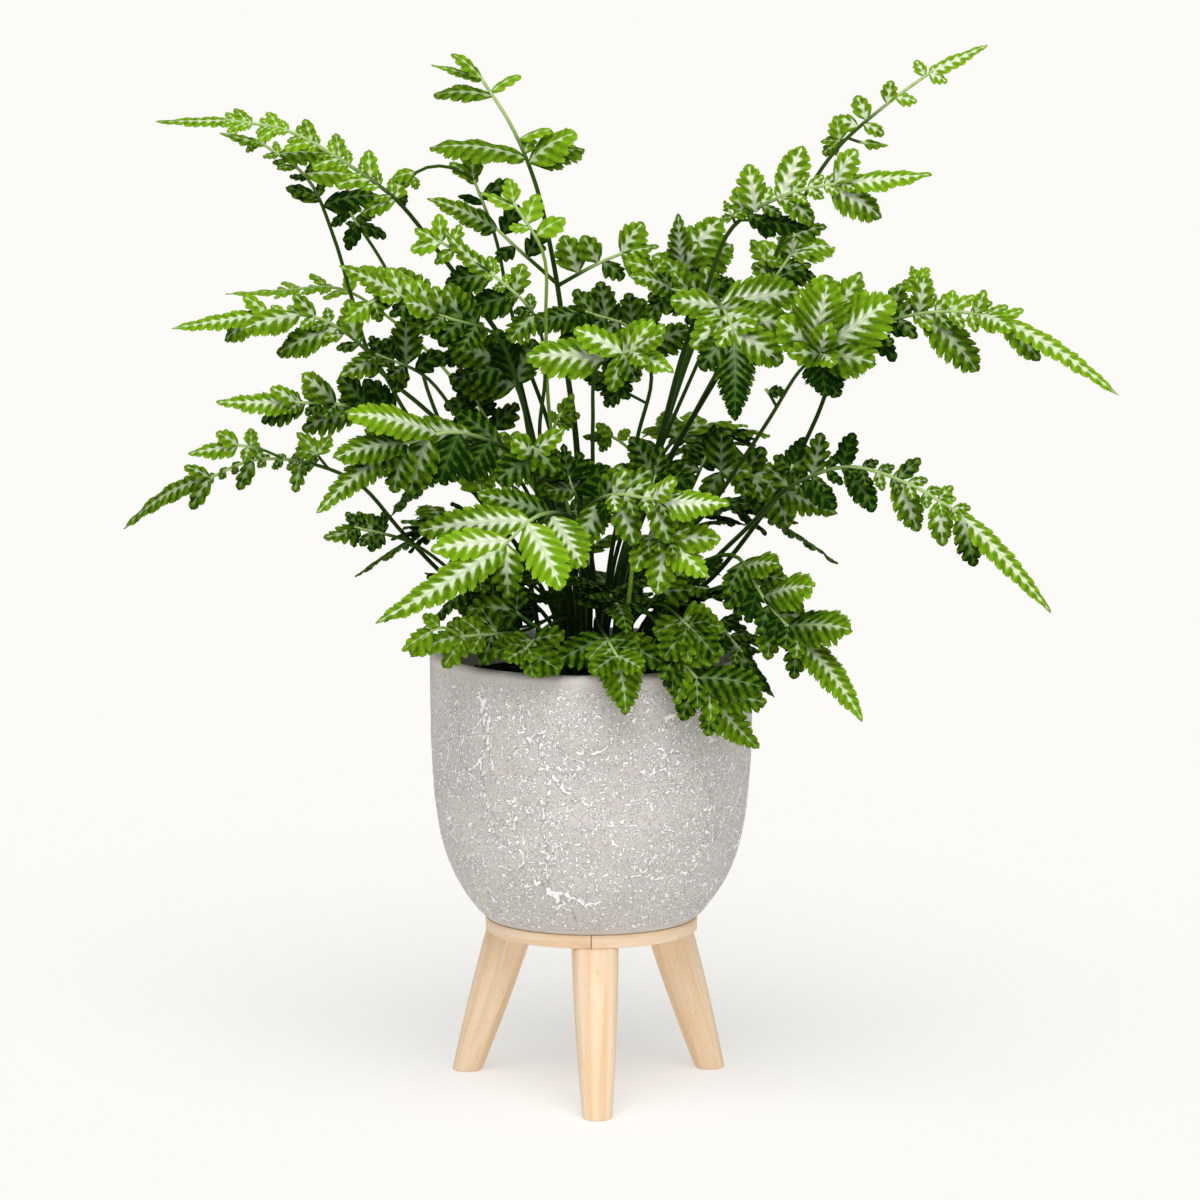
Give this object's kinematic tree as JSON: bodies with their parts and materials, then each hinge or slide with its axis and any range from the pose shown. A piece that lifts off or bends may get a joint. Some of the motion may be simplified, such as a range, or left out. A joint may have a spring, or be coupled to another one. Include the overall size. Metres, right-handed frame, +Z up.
{
  "type": "potted fern",
  "caption": "Silver lace fern with toothed pinnate fronds, in a textured round pot on a small wooden stand with splayed tapered legs.",
  "frame": {"origin": "on the floor, under the pot's axis", "axes": "+Z up, -Y to the front where one leg stands and the stand's edge band butts, +X to the viewer's right"},
  "size_m": [0.4556, 0.2992, 0.4823],
  "materials": {
    "pot_cement": "matte",
    "potting_soil": "matte",
    "stand_wood": "satin",
    "frond_green": "satin",
    "frond_pale": "satin"
  },
  "bodies": {
    "root": {"pot": "pot_cement", "soil": "potting_soil", "stand_disc": "stand_wood", "stand_edge_band": "stand_wood", "leg_front": "stand_wood", "leg_back_right": "stand_wood", "leg_back_left": "stand_wood", "frond_front_low_left": "frond_green", "frond_front_high_left": "frond_green", "frond_right_nodding": "frond_green", "frond_right_star": "frond_green", "frond_right_long": "frond_green", "frond_right_low": "frond_green", "frond_right_bottom": "frond_green", "frond_rim_front": "frond_green", "frond_rim_right": "frond_green", "frond_middle_right": "frond_green", "frond_pale_stalk": "frond_pale", "frond_top": "frond_green", "frond_upper_right": "frond_green", "frond_top_far_right": "frond_green", "frond_left_long": "frond_green", "frond_left_middle": "frond_green", "frond_left_high": "frond_green", "frond_top_left": "frond_green", "frond_far_left": "frond_green", "frond_left_small_head": "frond_green", "frond_left_side_on": "frond_pale", "frond_inner_left_tall": "frond_green", "frond_pale_thin": "frond_pale", "frond_inner_left": "frond_green", "frond_middle_upper": "frond_green", "frond_middle_lower": "frond_green", "frond_upper_fan": "frond_green", "frond_upper_low": "frond_green", "frond_upper_back": "frond_green", "frond_right_inner": "frond_green", "frond_right_upright": "frond_green", "frond_rim_far_right": "frond_green", "frond_rim_maple": "frond_green", "frond_rim_left": "frond_green", "frond_rim_front_left": "frond_green", "frond_left_lower": "frond_green", "frond_left_fold": "frond_green", "frond_left_bright": "frond_green", "frond_inner_left_low": "frond_green", "frond_inner_left_back": "frond_green", "frond_middle_left": "frond_green", "frond_crown_left": "frond_green", "frond_crown_right": "frond_green", "frond_back_right": "frond_green", "frond_back_middle": "frond_green", "frond_back_left": "frond_green", "frond_back_far_left": "frond_green", "frond_back_far_right": "frond_green", "frond_low_front_left": "frond_green", "frond_low_front": "frond_green", "frond_low_right": "frond_green", "frond_low_left": "frond_green", "frond_low_back": "frond_green"}
  },
  "joints": []
}
